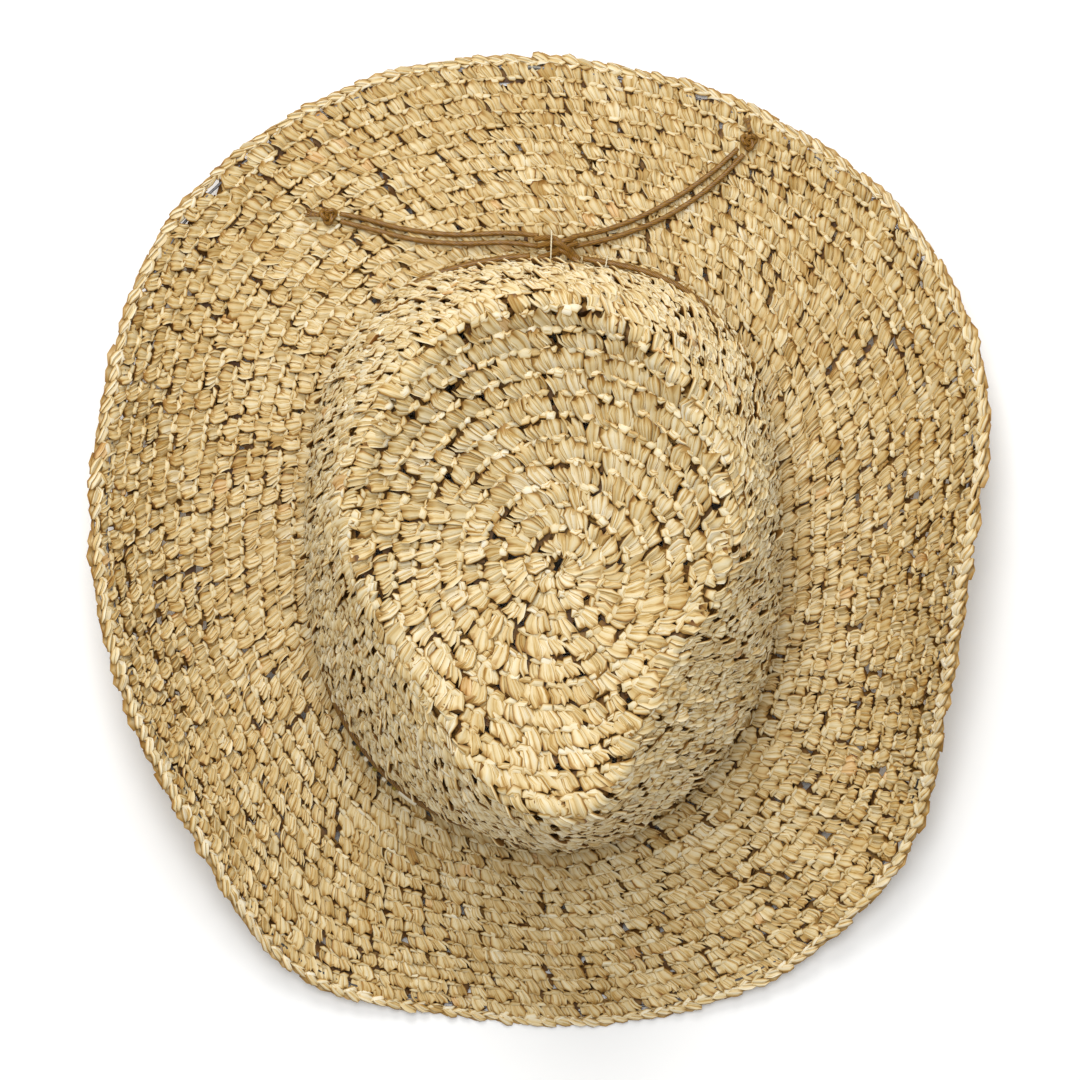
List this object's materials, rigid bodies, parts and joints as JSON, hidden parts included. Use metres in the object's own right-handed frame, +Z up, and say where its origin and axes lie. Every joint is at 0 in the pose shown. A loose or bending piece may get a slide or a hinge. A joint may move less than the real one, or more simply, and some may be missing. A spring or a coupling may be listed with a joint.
{
  "type": "crocheted straw sun hat",
  "caption": "Crocheted raffia sun hat with a pinched teardrop crown, a brim curled up at the sides, and a knotted cord band with beads.",
  "frame": {"origin": "under the middle of the brim, on the surface the hat rests on", "axes": "+Z up through the crown, -Y towards the pinched front, +Y towards the knot of the band at the back, +X to the wearer's left"},
  "size_m": [0.3244, 0.3587, 0.1202],
  "materials": {
    "raffia_tip": "dry, papery, fine lengthwise fibres",
    "raffia_wall": "dry, papery, fine lengthwise fibres",
    "raffia_brim": "dry, papery, fine lengthwise fibres",
    "raffia_edge": "dry, papery, fine lengthwise fibres",
    "wire_steel": "dull annealed",
    "sleeve_metal": "satin",
    "cotton_ribbon": "ribbed cotton ribbon",
    "sewing_thread": "cotton thread",
    "waxed_cord": "waxed, braided, slightly shiny",
    "bead_black": "polished glass, opaque",
    "bead_gold": "lustred glass, opaque",
    "bead_white": "polished glass, opaque",
    "shell": "polished shell"
  },
  "bodies": {
    "root": {"crown_tip": "raffia_tip", "crown_wall": "raffia_wall", "brim": "raffia_brim", "brim_edge_plait": "raffia_edge", "brim_wire": "wire_steel", "wire_sleeve": "sleeve_metal", "sweatband": "cotton_ribbon", "sweatband_thread": "sewing_thread", "hat_cord_lower": "waxed_cord", "hat_cord_upper": "waxed_cord", "back_knot": "waxed_cord", "tail_left_outer": "waxed_cord", "tail_left_inner": "waxed_cord", "tail_right_outer": "waxed_cord", "tail_right_inner": "waxed_cord", "tail_knot_left": "waxed_cord", "tail_knot_right": "waxed_cord", "tail_tip_left": "waxed_cord", "tail_tip_right": "waxed_cord", "tack_stitch_strands": "sewing_thread", "tack_stitch_knot": "sewing_thread", "bead_01": "bead_black", "bead_02": "bead_gold", "bead_03": "bead_black", "bead_04": "bead_white", "bead_05": "bead_black", "bead_06": "bead_gold", "bead_07": "bead_black", "bead_08": "bead_white", "bead_09": "bead_black", "bead_10": "bead_gold", "shell_bead": "shell"}
  },
  "joints": []
}
